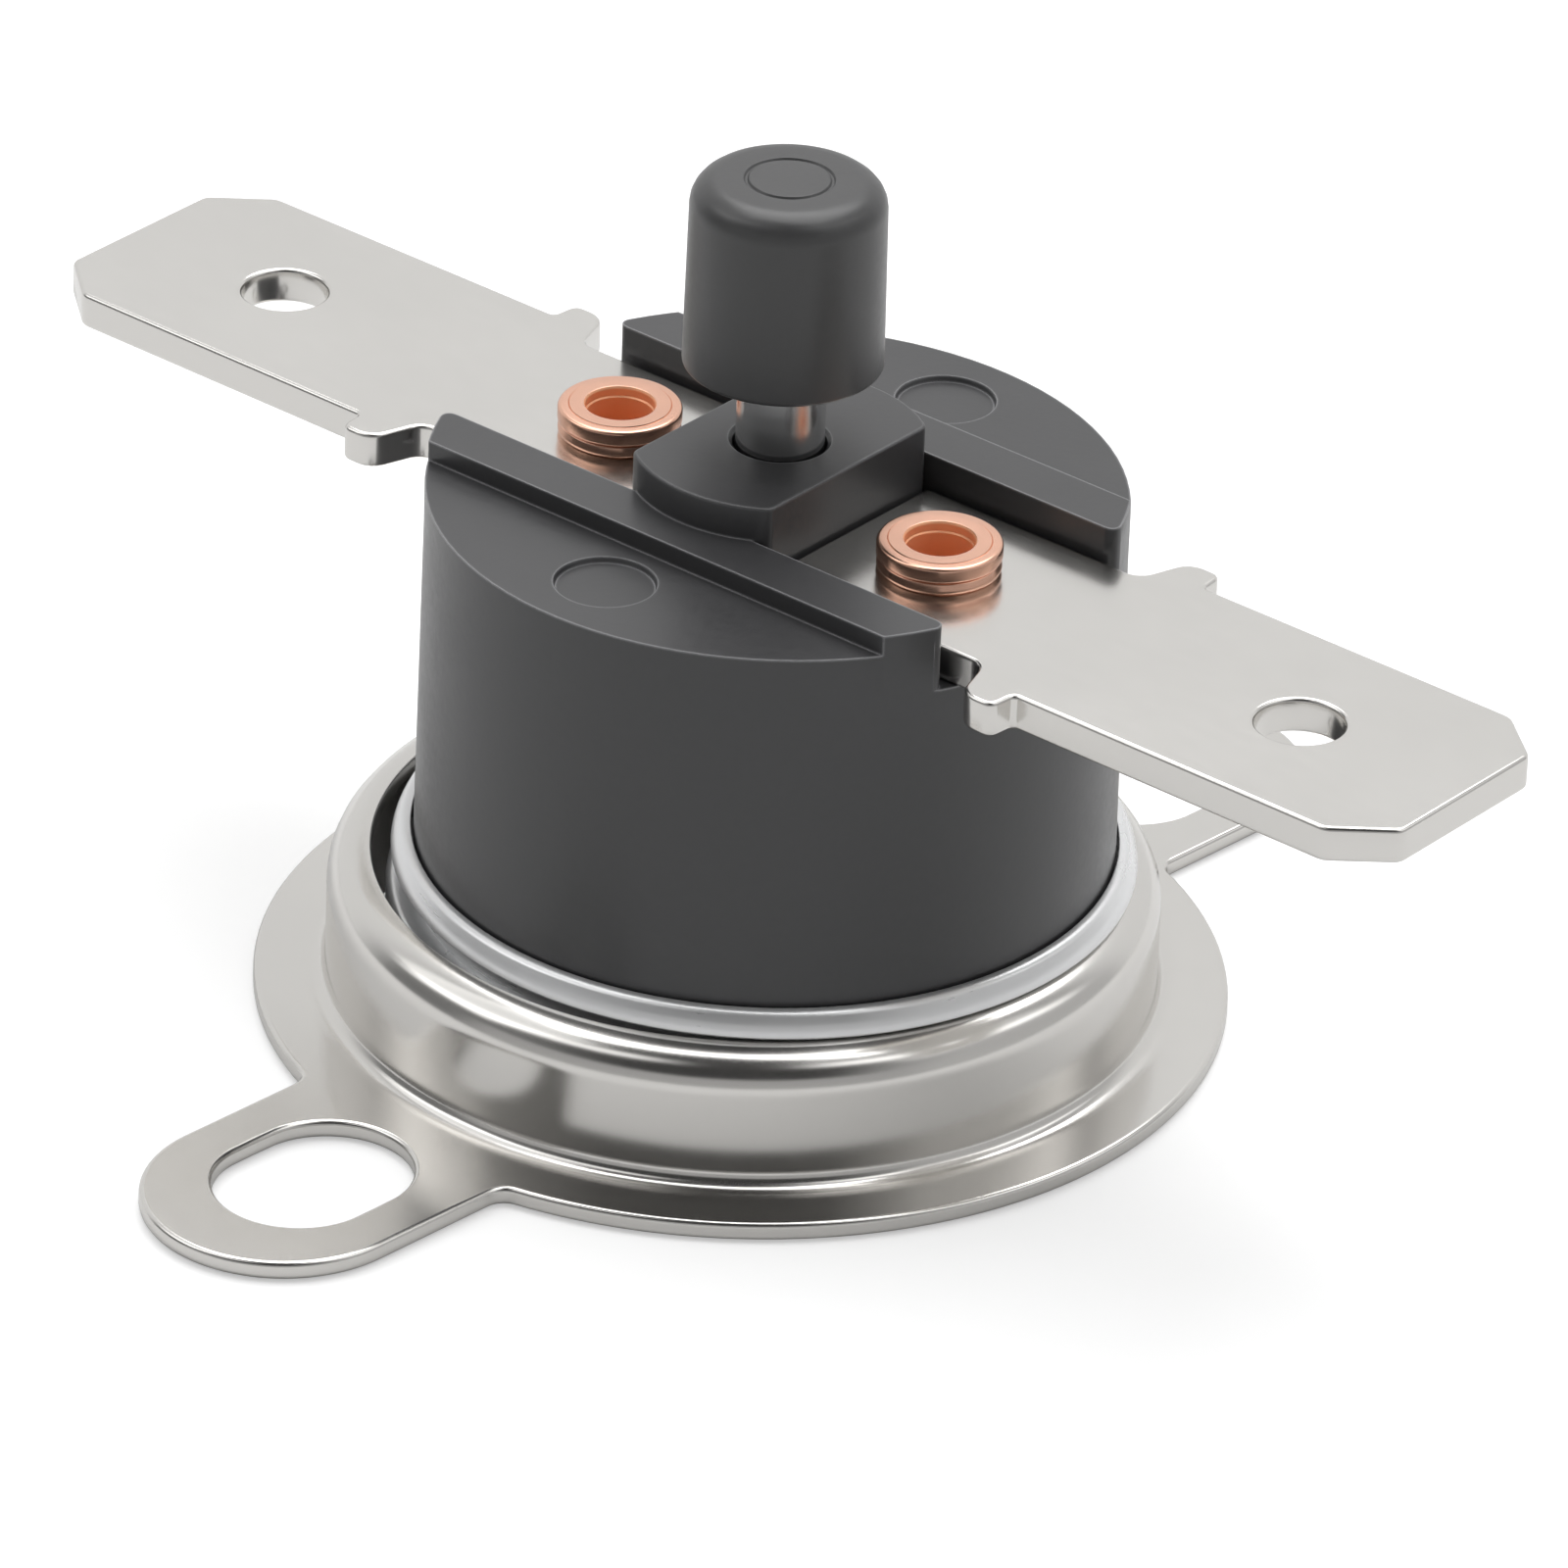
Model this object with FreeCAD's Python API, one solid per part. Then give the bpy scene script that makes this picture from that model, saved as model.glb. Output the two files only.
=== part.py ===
import FreeCAD, Part
import math
import os
from FreeCAD import Vector

# Snap-action temperature switch with a manual reset button, in millimetres.
# Origin: centre of the sensing face, on the surface that the switch is fastened to. +Z up.
# The two bracket ears lie on the Y axis. The switch turns in its loose bracket, and rests
# with its blades a little off the X axis.

SWITCH_TURN = 5.0        # degrees from +X to the right-hand blade

# Mounting bracket, one pressed sheet
SHEET = 0.42
FLANGE_R = 10.55
COLLAR_R = 9.0          # outside of the upright collar
COLLAR_FOOT_R = 0.36     # fillet between flange and collar
LIP_EDGE_R = 8.06        # inner edge of the rolled lip
LIP_TOP = 3.42
EAR_PITCH = 25.4         # slot centre to slot centre
EAR_HALF_WIDTH = 3.0
EAR_REACH = 16.6        # axis to the tip of an ear
EAR_CORNER_R = 0.35      # where an ear leaves the flange
SLOT_WIDTH = 3.6
SLOT_LENGTH = 4.5
SHEET_EDGE = 0.12
BRACKET_SHIFT = (-0.33, -0.24)   # the bracket hangs loose and leans against the cup's neck

# Sensing cup, drawn aluminium
CUP_R = 8.13
CUP_FLOOR = 0.45
CUP_WALL = 0.38
CUP_CORNER_R = 0.35
CUP_NECK_R = 7.6        # groove that the bracket's lip turns in
CUP_SHOULDER = 2.78
BEAD_R = 8.05
BEAD_LOW = 3.5
RIM_TOP = 4.0

# Moulded housing
BODY_TOP_R = 7.48
BODY_LOW_R = 7.56
BASE_FLANGE_R = 7.68
BASE_Z = 2.3
BASE_FLANGE_TOP = 2.5
GROOVE_R = 7.28          # waist of the housing that the cup's neck is pressed into
GROOVE_TOP = 3.5
CAVITY_R = 6.5
CAVITY_TOP = 9.6
SEGMENT_Z = 12.24        # the two flat D-shaped shoulders
RAIL_Z = 12.69
RAIL_INNER = 2.78
RAIL_OUTER = 4.1
BOSS_Z = 13.46
BOSS_HALF_WIDTH = 1.9
BOSS_END_R = 3.2
MARK_Y = 5.62
MARK_R = 1.08
MARK_DEPTH = 0.05
MOULD_EDGE = 0.1

# Blade terminals, 6.35 x 0.8 quick-connect tabs
BLADE_TOP = 12.0
BLADE_THICK = 0.8
BLADE_HALF = 3.175
BLADE_TIP = 18.3
TIP_LONG = 1.24
TIP_SIDE = 1.03
LOCK_X = 14.0
LOCK_R = 0.95
NECK_HALF = 2.6
BARB_HALF = 3.85
BARB_FROM = 8.1
BARB_TO = 9.0
BLADE_INNER = 1.97
BLADE_EDGE = 0.08

# Hollow copper eyelets and their washers
EYELET_X = 4.41
EYELET_BORE_R = 0.75
EYELET_TUBE_R = 1.0
EYELET_HEAD_R = 1.34
WASHER_THICK = 0.3
HEAD_THICK = 0.4

# Reset button, steel shaft and return spring
BUTTON_TOP = 19.6
BUTTON_LOW = 15.3
BUTTON_TOP_R = 2.08
BUTTON_LOW_R = 2.14
BUTTON_ROUND = 0.62
SHAFT_R = 0.95
SHAFT_BORE_R = 1.02
SHAFT_LOW = 9.33
SPRING_BORE_R = 1.45
SPRING_BORE_TOP = 12.85
CLIP_LOW = 12.5
SEAT_TOP = 10.1
SPRING_R = 1.2
SPRING_WIRE_R = 0.12
SPRING_TURNS = 3

# Contact system inside the cavity
STRIP = 0.38
STRIP_HALF_WIDTH = 1.4
ARM_TOP = 7.8
ARM_THICK = 0.2
ARM_HALF_WIDTH = 1.3
ARM_PIVOT_X = -3.0
ARM_TIP_X = 3.7
CONTACT_X = 2.8
CONTACT_R = 0.85
CONTACT_FACE = 7.2
PIN_R = 0.8
PIN_SPIGOT_R = 0.38

# Bimetal disc and what holds it
DISC_R = 7.2
DISC_THICK = 0.2
DISC_DOME = 0.175
DISC_SEAT_Z = 1.0
GUIDE_LOW = 1.5

CHORD_ANGLE = math.radians(45)   # turn between two chords of a rounding

ORIGIN = Vector(0, 0, 0)
UP = Vector(0, 0, 1)


def corner_arc(before, corner, after, radius):
    """Tangent arc at a corner of an outline: its two ends and its middle."""
    to_before = (before - corner).normalize()
    to_after = (after - corner).normalize()
    half_angle = to_before.getAngle(to_after) / 2
    run = radius / math.tan(half_angle)
    middle_dir = (to_before + to_after).normalize()
    start = corner + to_before * run
    end = corner + to_after * run
    middle = corner + middle_dir * (radius / math.sin(half_angle) - radius)
    return start, middle, end


def outline(corners, place):
    """Closed wire from (a, b, rounding radius) corners."""
    points = [place(a, b) for a, b, _ in corners]
    count = len(corners)
    edges = []
    arcs = []
    for i, (_, _, radius) in enumerate(corners):
        here = points[i]
        if radius:
            arcs.append(corner_arc(points[i - 1], here, points[(i + 1) % count], radius))
        else:
            arcs.append((here, None, here))
    for i in range(count):
        start, middle, end = arcs[i]
        if middle is not None:
            edges.append(Part.Arc(start, middle, end).toShape())
        next_start = arcs[(i + 1) % count][0]
        if (next_start - end).Length > 1e-6:
            edges.append(Part.LineSegment(end, next_start).toShape())
    return Part.Wire(edges)


def rounded_points(corners):
    """(radius, height) points of a profile, each rounding as a chain of chords on its arc."""
    points = [Vector(r, 0, z) for r, z, _ in corners]
    chain = []
    for i, (_, _, radius) in enumerate(corners):
        if not radius:
            chain.append(points[i])
            continue
        start, middle, end = corner_arc(points[i - 1], points[i], points[(i + 1) % len(points)], radius)
        centre = Part.Arc(start, middle, end).toShape().Curve.Center
        sweep = (start - centre).getAngle(end - centre)
        steps = max(2, round(sweep / CHORD_ANGLE))
        for k in range(steps + 1):
            done = k / steps * sweep
            along = (start - centre) * math.sin(sweep - done) + (end - centre) * math.sin(done)
            chain.append(centre + along * (1 / math.sin(sweep)))
    return chain


def turned(corners):
    """Solid of revolution about Z from (radius, height, rounding) corners."""
    chain = rounded_points(corners)
    face = Part.Face(Part.makePolygon(chain + chain[:1]))
    return face.revolve(ORIGIN, UP, 360)


def plate(corners, low, thick):
    """Flat plate from (x, y, rounding) corners."""
    face = Part.Face(outline(corners, lambda x, y: Vector(x, y, low)))
    return face.extrude(Vector(0, 0, thick))


def folded(corners, half_width):
    """Folded strip: an (x, z, rounding) side profile, as wide as given across Y."""
    face = Part.Face(outline(corners, lambda x, z: Vector(x, -half_width, z)))
    return face.extrude(Vector(0, 2 * half_width, 0))


def rod(radius, low, high, x=0.0, y=0.0):
    return Part.makeCylinder(radius, high - low, Vector(x, y, low), UP)


def edges_at(shape, height):
    """Edges that lie wholly at one height."""
    return [e for e in shape.Edges
            if abs(e.BoundBox.ZMin - height) < 1e-4 and abs(e.BoundBox.ZMax - height) < 1e-4]


def upright_edges(shape, wanted):
    """Straight vertical edges whose plan position passes a test."""
    found = []
    for e in shape.Edges:
        box = e.BoundBox
        if box.XLength < 1e-4 and box.YLength < 1e-4 and wanted(e.CenterOfMass):
            found.append(e)
    return found


def mirrored(shape):
    """The same piece for the left-hand side."""
    return shape.mirror(ORIGIN, Vector(1, 0, 0))


def housing():
    blade_low = BLADE_TOP - BLADE_THICK
    reach = BODY_LOW_R + 1
    wall = turned([
        (0, RIM_TOP, 0), (BODY_LOW_R, RIM_TOP, 0), (BODY_TOP_R, RAIL_Z, 0), (0, RAIL_Z, 0)])
    above_shoulder = turned([
        (0, SEGMENT_Z, 0), (BODY_TOP_R - MOULD_EDGE, SEGMENT_Z, 0), (reach, SEGMENT_Z - MOULD_EDGE - 1.1, 0),
        (reach, RAIL_Z + 1, 0), (0, RAIL_Z + 1, 0)])
    channel = Part.makeBox(2 * reach, 2 * RAIL_INNER, 2, Vector(-reach, -RAIL_INNER, blade_low))
    body = wall.cut([above_shoulder, channel])
    for side in (-1, 1):
        rail = Part.makeBox(2 * reach, RAIL_OUTER - RAIL_INNER, RAIL_Z - CAVITY_TOP - 0.5,
                            Vector(-reach, RAIL_INNER if side > 0 else -RAIL_OUTER, CAVITY_TOP + 0.5))
        rail = rail.common(wall)
        upright = [e for e in rail.Edges if e.BoundBox.ZLength > 1 and abs(e.BoundBox.Center.x) > 5]
        rail = rail.makeChamfer(2 * MOULD_EDGE, upright)
        rail = rail.makeChamfer(MOULD_EDGE, edges_at(rail, RAIL_Z))
        body = body.fuse(rail)
    boss = Part.makeBox(2 * BOSS_HALF_WIDTH, 4 * BOSS_END_R, BOSS_Z - CAVITY_TOP - 0.5,
                        Vector(-BOSS_HALF_WIDTH, -2 * BOSS_END_R, CAVITY_TOP + 0.5))
    boss = boss.common(rod(BOSS_END_R, CAVITY_TOP, BOSS_Z + 1))
    boss = boss.makeFillet(1.5 * MOULD_EDGE, upright_edges(boss, lambda p: True))
    boss = boss.makeChamfer(MOULD_EDGE, edges_at(boss, BOSS_Z))
    foot = turned([
        (0, BASE_Z, 0), (BASE_FLANGE_R, BASE_Z, 0), (BASE_FLANGE_R, BASE_FLANGE_TOP, 0),
        (GROOVE_R, BASE_FLANGE_TOP, 0), (GROOVE_R, GROOVE_TOP, 0), (BODY_LOW_R, GROOVE_TOP + 0.25, 0),
        (BODY_LOW_R, RIM_TOP, 0), (0, RIM_TOP, 0)])
    holes = [rod(CAVITY_R, BASE_Z - 1, CAVITY_TOP), rod(SHAFT_BORE_R, BASE_Z, BOSS_Z + 1),
             rod(SPRING_BORE_R, BASE_Z, SPRING_BORE_TOP)]
    for side in (-1, 1):
        holes.append(rod(EYELET_TUBE_R, CAVITY_TOP - 1, BLADE_TOP, side * EYELET_X))
        holes.append(rod(MARK_R, SEGMENT_Z - MARK_DEPTH, SEGMENT_Z + 1, 0, side * MARK_Y))
    return body.fuse([boss, foot]).cut(holes).removeSplitter()


def terminal():
    """Right-hand blade: inner end under its eyelet, barbs outside the body, chamfered tip."""
    low = BLADE_TOP - BLADE_THICK
    half = [
        (BLADE_INNER, NECK_HALF, 0), (BARB_FROM - 0.4, NECK_HALF, 0.3), (BARB_FROM, BARB_HALF, 0.25),
        (BARB_TO - 0.05, BARB_HALF, 0.15), (BARB_TO, BLADE_HALF, 0), (BLADE_TIP - TIP_LONG, BLADE_HALF, 0.15),
        (BLADE_TIP, BLADE_HALF - TIP_SIDE, 0.15)]
    other = [(x, -y, r) for x, y, r in reversed(half)]
    blade = plate(half + other, low, BLADE_THICK)
    blade = blade.makeChamfer(BLADE_EDGE, edges_at(blade, BLADE_TOP))
    lock_hole = rod(LOCK_R, low - 1, BLADE_TOP + 1, LOCK_X)
    return blade.cut([lock_hole, rod(EYELET_TUBE_R, low - 1, BLADE_TOP + 1, EYELET_X)])


def eyelet(strip_low):
    """Hollow rivet: rolled head above, tube, flare clenched under the strip."""
    head_low = BLADE_TOP + WASHER_THICK
    head_top = head_low + HEAD_THICK
    flare_low = strip_low - 0.25
    flare_r = EYELET_HEAD_R - 0.06
    shape = turned([
        (EYELET_BORE_R, flare_low, 0), (flare_r, flare_low, 0), (flare_r, strip_low, 0),
        (EYELET_TUBE_R, strip_low, 0), (EYELET_TUBE_R, head_low, 0), (EYELET_HEAD_R - 0.06, head_low, 0),
        (EYELET_HEAD_R, head_top, 0.14), (EYELET_BORE_R + 0.1, head_top, 0),
        (EYELET_BORE_R, head_top - 0.1, 0)])
    shape.translate(Vector(EYELET_X, 0, 0))
    return shape


def eyelet_washer():
    edge = 0.06
    top = BLADE_TOP + WASHER_THICK
    shape = turned([
        (EYELET_TUBE_R, BLADE_TOP, 0), (EYELET_HEAD_R, BLADE_TOP, 0), (EYELET_HEAD_R, top - edge, 0),
        (EYELET_HEAD_R - edge, top, 0), (EYELET_TUBE_R, top, 0)])
    shape.translate(Vector(EYELET_X, 0, 0))
    return shape


def reset_button():
    mark_r = 0.96
    mark_width = 0.09
    mark_depth = 0.05
    socket_top = BUTTON_LOW + 2.6
    return turned([
        (SHAFT_R, BUTTON_LOW, 0), (BUTTON_LOW_R - 0.12, BUTTON_LOW, 0), (BUTTON_LOW_R, BUTTON_LOW + 0.12, 0),
        (BUTTON_TOP_R, BUTTON_TOP, BUTTON_ROUND),
        (mark_r, BUTTON_TOP, 0), (mark_r - mark_width / 2, BUTTON_TOP - mark_depth, 0),
        (mark_r - mark_width, BUTTON_TOP, 0), (0, BUTTON_TOP, 0), (0, socket_top, 0),
        (SHAFT_R, socket_top, 0)])


def reset_shaft():
    nose_r = 0.55
    nose_top = SHAFT_LOW + 0.55
    groove_r = 0.74
    return turned([
        (0, SHAFT_LOW, 0), (nose_r, SHAFT_LOW, 0), (nose_r, nose_top, 0), (SHAFT_R, nose_top + 0.2, 0),
        (SHAFT_R, CLIP_LOW, 0), (groove_r, CLIP_LOW, 0), (groove_r, CLIP_LOW + 0.3, 0),
        (SHAFT_R, CLIP_LOW + 0.3, 0), (SHAFT_R, BUTTON_LOW + 2.55, 0), (0, BUTTON_LOW + 2.55, 0)])


def shaft_clip():
    """Open retaining ring in the shaft's groove, the stop for the shaft's upper end."""
    ring = turned([
        (0.76, CLIP_LOW + 0.02, 0), (1.38, CLIP_LOW + 0.02, 0), (1.38, CLIP_LOW + 0.28, 0),
        (0.76, CLIP_LOW + 0.28, 0)])
    mouth = Part.makeBox(2, 0.9, 1, Vector(0, -0.45, CLIP_LOW - 0.3))
    return ring.cut(mouth)


def spring_seat():
    return turned([
        (SHAFT_BORE_R, CAVITY_TOP - 0.3, 0), (SPRING_BORE_R + 0.4, CAVITY_TOP - 0.3, 0),
        (SPRING_BORE_R + 0.4, CAVITY_TOP, 0), (SPRING_BORE_R, CAVITY_TOP, 0), (SPRING_BORE_R, SEAT_TOP, 0),
        (SHAFT_BORE_R, SEAT_TOP, 0)])


def return_spring():
    """Compression spring between the seat and the clip."""
    low = SEAT_TOP + SPRING_WIRE_R
    high = CLIP_LOW - SPRING_WIRE_R
    path = Part.makeHelix((high - low) / SPRING_TURNS, high - low, SPRING_R)
    path.translate(Vector(0, 0, low))
    corners = []
    for k in range(7):
        angle = k * math.pi / 3
        across = SPRING_R + SPRING_WIRE_R * math.cos(angle)
        corners.append(Vector(across, 0, low + SPRING_WIRE_R * math.sin(angle)))
    section = Part.makePolygon(corners)
    return Part.Wire(path.Edges).makePipeShell([section], True, True)


def strip_profile(foot_top, foot_end, thick):
    """Side profile of a C-folded strip: root under the ceiling, back, foot reaching inwards."""
    outer = 6.28
    bend_in = 0.15
    bend_out = bend_in + thick
    root_end = EYELET_X - EYELET_HEAD_R - 0.1
    foot_low = foot_top - thick
    return [
        (root_end, CAVITY_TOP, 0), (outer, CAVITY_TOP, bend_out), (outer, foot_low, bend_out),
        (foot_end, foot_low, 0), (foot_end, foot_top, 0), (outer - thick, foot_top, bend_in),
        (outer - thick, CAVITY_TOP - thick, bend_in),
        (root_end, CAVITY_TOP - thick, 0)]


def arm_carrier():
    """Left-hand strip: clenched by the eyelet, its foot carries the root of the spring arm."""
    foot_top = ARM_TOP + 0.03 + STRIP
    strip = folded(strip_profile(foot_top, -ARM_PIVOT_X, STRIP), STRIP_HALF_WIDTH)
    strip = strip.cut(rod(EYELET_TUBE_R, CAVITY_TOP - 1, CAVITY_TOP + 1, EYELET_X))
    return mirrored(strip)


def fixed_strip():
    """Right-hand strip: clenched by the eyelet, its foot carries the fixed contact."""
    foot_top = CONTACT_FACE - 0.4
    strip = folded(strip_profile(foot_top, CONTACT_X - 1.1, STRIP), STRIP_HALF_WIDTH)
    strip = strip.cut(rod(EYELET_TUBE_R, CAVITY_TOP - 1, CAVITY_TOP + 1, EYELET_X))
    return strip.cut(rod(0.35, foot_top - 1, foot_top + 0.01, CONTACT_X))


def fixed_contact():
    foot_top = CONTACT_FACE - 0.4
    foot_low = foot_top - STRIP
    shape = turned([
        (0, foot_low, 0), (0.35, foot_low, 0), (0.35, foot_top, 0), (CONTACT_R, foot_top, 0),
        (CONTACT_R, CONTACT_FACE - 0.12, 0),
        (0.4, CONTACT_FACE - 0.02, 0), (0, CONTACT_FACE - 0.02, 0)])
    shape.translate(Vector(CONTACT_X, 0, 0))
    return shape


def contact_arm():
    """Leaf spring with a window for the pin's tip, a hole for its contact and a rounded tip."""
    low = ARM_TOP - ARM_THICK
    root_x = ARM_PIVOT_X - 1.6
    waist = 0.85 * ARM_HALF_WIDTH
    leaf = plate([
        (root_x, -ARM_HALF_WIDTH, 0.2), (ARM_PIVOT_X + 0.2, -ARM_HALF_WIDTH, 0.4),
        (ARM_PIVOT_X + 0.9, -waist, 0.4),
        (ARM_TIP_X, -waist, 0.8), (ARM_TIP_X, waist, 0.8), (ARM_PIVOT_X + 0.9, waist, 0.4),
        (ARM_PIVOT_X + 0.2, ARM_HALF_WIDTH, 0.4), (root_x, ARM_HALF_WIDTH, 0.2)], low, ARM_THICK)
    leaf = leaf.cut(rod(0.58, low - 1, ARM_TOP + 1))
    return leaf.cut(rod(0.35, low - 1, ARM_TOP + 1, CONTACT_X))


def moving_contact():
    low = ARM_TOP - ARM_THICK
    shape = turned([
        (0, CONTACT_FACE, 0), (0.4, CONTACT_FACE, 0), (CONTACT_R, CONTACT_FACE + 0.1, 0), (CONTACT_R, low, 0),
        (0.35, low, 0), (0.35, ARM_TOP, 0), (0, ARM_TOP, 0)])
    shape.translate(Vector(CONTACT_X, 0, 0))
    return shape


def transfer_pin():
    """Ceramic pin: rests on the disc, its shoulder lifts the arm, its tip meets the shaft."""
    low = DISC_SEAT_Z + DISC_THICK - DISC_DOME + 0.06
    shoulder = ARM_TOP - ARM_THICK - 0.02
    return turned([
        (0, low, 0), (0.3, low, 0), (PIN_R, low + 0.25, 0), (PIN_R, shoulder - 0.3, 0),
        (PIN_SPIGOT_R + 0.07, shoulder, 0), (PIN_SPIGOT_R, shoulder, 0), (PIN_SPIGOT_R, ARM_TOP + 0.15, 0),
        (0, ARM_TOP + 0.15, 0)])


def guide_plate():
    """Moulded plate that closes the cavity and guides the pin."""
    bore = PIN_R + 0.05
    post_r = 1.7
    post_top = 3.9
    rim_r = CUP_R - CUP_WALL - 0.1
    return turned([
        (bore, GUIDE_LOW, 0), (DISC_R - 0.5, GUIDE_LOW, 0), (DISC_R - 0.5, GUIDE_LOW - 0.2, 0),
        (rim_r, GUIDE_LOW - 0.2, 0), (rim_r, BASE_Z, 0), (CAVITY_R - 0.05, BASE_Z, 0),
        (CAVITY_R - 0.05, BASE_Z + 0.4, 0), (post_r, BASE_Z + 0.4, 0), (post_r, post_top, 0),
        (bore, post_top, 0)])


def disc_ring():
    """Steel ring on the cup's floor that the disc's edge rests on."""
    inner = DISC_R - 0.5
    outer = CUP_R - CUP_WALL - 0.1
    return turned([
        (inner, CUP_FLOOR, 0), (outer, CUP_FLOOR, 0), (outer, GUIDE_LOW - 0.22, 0),
        (DISC_R + 0.1, GUIDE_LOW - 0.22, 0), (DISC_R + 0.1, DISC_SEAT_Z, 0), (inner, DISC_SEAT_Z, 0)])


def bimetal_disc():
    """Shallow dished snap disc, dished downwards while it is cold."""
    ball_r = (DISC_R ** 2 + DISC_DOME ** 2) / (2 * DISC_DOME)
    centre_low = DISC_SEAT_Z + 0.03 - DISC_DOME
    rings = [DISC_R * k / 3 for k in (1, 2, 3)]
    under = [(r, centre_low + ball_r - math.sqrt(ball_r ** 2 - r ** 2), 0) for r in rings]
    under = [(0, under[0][1], 0)] + under
    upper = [(r, z + DISC_THICK, 0) for r, z, _ in reversed(under)]
    return turned(under + upper)


def sensing_cup():
    """Drawn cup: floor, wall, shoulder, neck for the lip, bead over it and rim round the body."""
    inner = CUP_R - CUP_WALL
    neck_inner = GROOVE_R + 0.03
    rim_inner = BODY_LOW_R + 0.05
    corner = 0.6 * CUP_CORNER_R
    return turned([
        (0, 0, 0), (CUP_R - corner, 0, 0), (CUP_R, corner, 0), (CUP_R, CUP_SHOULDER - 0.2, 0),
        (CUP_R - 0.2, CUP_SHOULDER, 0), (CUP_NECK_R, CUP_SHOULDER, 0), (CUP_NECK_R, BEAD_LOW, 0),
        (BEAD_R - 0.05, BEAD_LOW, 0), (BEAD_R, BEAD_LOW + 0.06, 0), (BEAD_R - 0.15, BEAD_LOW + 0.17, 0),
        (rim_inner + 0.22, RIM_TOP - 0.07, 0), (rim_inner + 0.14, RIM_TOP, 0), (rim_inner, RIM_TOP, 0),
        (rim_inner, GROOVE_TOP + 0.22, 0), (neck_inner, GROOVE_TOP - 0.04, 0),
        (neck_inner, BASE_FLANGE_TOP + 0.03, 0), (inner, BASE_FLANGE_TOP + 0.03, 0), (inner, CUP_FLOOR, 0),
        (0, CUP_FLOOR, 0)])


def mounting_bracket():
    """Pressed sheet: flange with two slotted ears, filleted collar, lip rolled over the cup."""
    roll_r = COLLAR_R - LIP_EDGE_R - 0.05
    bore_r = COLLAR_R - SHEET
    flat = rod(FLANGE_R, 0, SHEET)
    ear_tip = EAR_REACH - EAR_HALF_WIDTH
    for side in (-1, 1):
        start = Vector(-EAR_HALF_WIDTH, min(0, side * ear_tip), 0)
        bar = Part.makeBox(2 * EAR_HALF_WIDTH, ear_tip, SHEET, start)
        flat = flat.fuse([bar, rod(EAR_HALF_WIDTH, 0, SHEET, 0, side * ear_tip)]).removeSplitter()
    flat = flat.makeFillet(EAR_CORNER_R, upright_edges(flat, lambda p: math.hypot(p.x, p.y) < FLANGE_R + 0.2))
    slot_run = (SLOT_LENGTH - SLOT_WIDTH) / 2
    for side in (-1, 1):
        middle = side * EAR_PITCH / 2
        slot = Part.makeBox(SLOT_WIDTH, 2 * slot_run, 3, Vector(-SLOT_WIDTH / 2, middle - slot_run, -1))
        for end in (-slot_run, slot_run):
            slot = slot.fuse(rod(SLOT_WIDTH / 2, -1, 2, 0, middle + end))
        flat = flat.cut(slot.removeSplitter())
    flat = flat.makeChamfer(SHEET_EDGE, edges_at(flat, SHEET))
    foot = COLLAR_R + COLLAR_FOOT_R + 0.2
    collar = turned([
        (bore_r, 0, 0), (foot, 0, 0), (foot, SHEET, 0), (COLLAR_R, SHEET, COLLAR_FOOT_R),
        (COLLAR_R, LIP_TOP, roll_r), (LIP_EDGE_R, LIP_TOP, 0), (LIP_EDGE_R, LIP_TOP - SHEET, 0),
        (bore_r, LIP_TOP - SHEET, 0)])
    flat = flat.cut(rod(foot - 0.1, -1, SHEET + 1))
    bracket = flat.fuse(collar).removeSplitter()
    bracket.translate(Vector(BRACKET_SHIFT[0], BRACKET_SHIFT[1], 0))
    return bracket


def switch_pieces():
    """Everything that turns with the switch, right-hand pieces mirrored for the left."""
    strip_low = CAVITY_TOP - STRIP
    return {
        "housing": housing(),
        "terminal_right": terminal(),
        "terminal_left": mirrored(terminal()),
        "eyelet_right": eyelet(strip_low),
        "eyelet_left": mirrored(eyelet(strip_low)),
        "eyelet_washer_right": eyelet_washer(),
        "eyelet_washer_left": mirrored(eyelet_washer()),
        "reset_button": reset_button(),
        "reset_shaft": reset_shaft(),
        "shaft_clip": shaft_clip(),
        "return_spring": return_spring(),
        "spring_seat": spring_seat(),
        "arm_carrier": arm_carrier(),
        "contact_arm": contact_arm(),
        "moving_contact": moving_contact(),
        "fixed_contact_strip": fixed_strip(),
        "fixed_contact": fixed_contact(),
        "transfer_pin": transfer_pin(),
        "guide_plate": guide_plate(),
        "disc_ring": disc_ring(),
        "bimetal_disc": bimetal_disc(),
        "sensing_cup": sensing_cup(),
    }


os.makedirs("parts", exist_ok=True)
pieces = switch_pieces()
for shape in pieces.values():
    shape.rotate(ORIGIN, UP, SWITCH_TURN)
pieces["mounting_bracket"] = mounting_bracket()
for name, shape in pieces.items():
    solids = shape.Solids
    if len(solids) != 1 or not shape.isValid():
        raise RuntimeError(name + ": " + str(len(solids)) + " solids, valid " + str(shape.isValid()))
    solids[0].exportStep("parts/" + name + ".step")
    box = shape.BoundBox
    print(name, "volume", round(shape.Volume, 3), "z", round(box.ZMin, 3), round(box.ZMax, 3))
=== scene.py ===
import math

import bmesh
import bpy
from mathutils import Matrix, Vector


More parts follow.
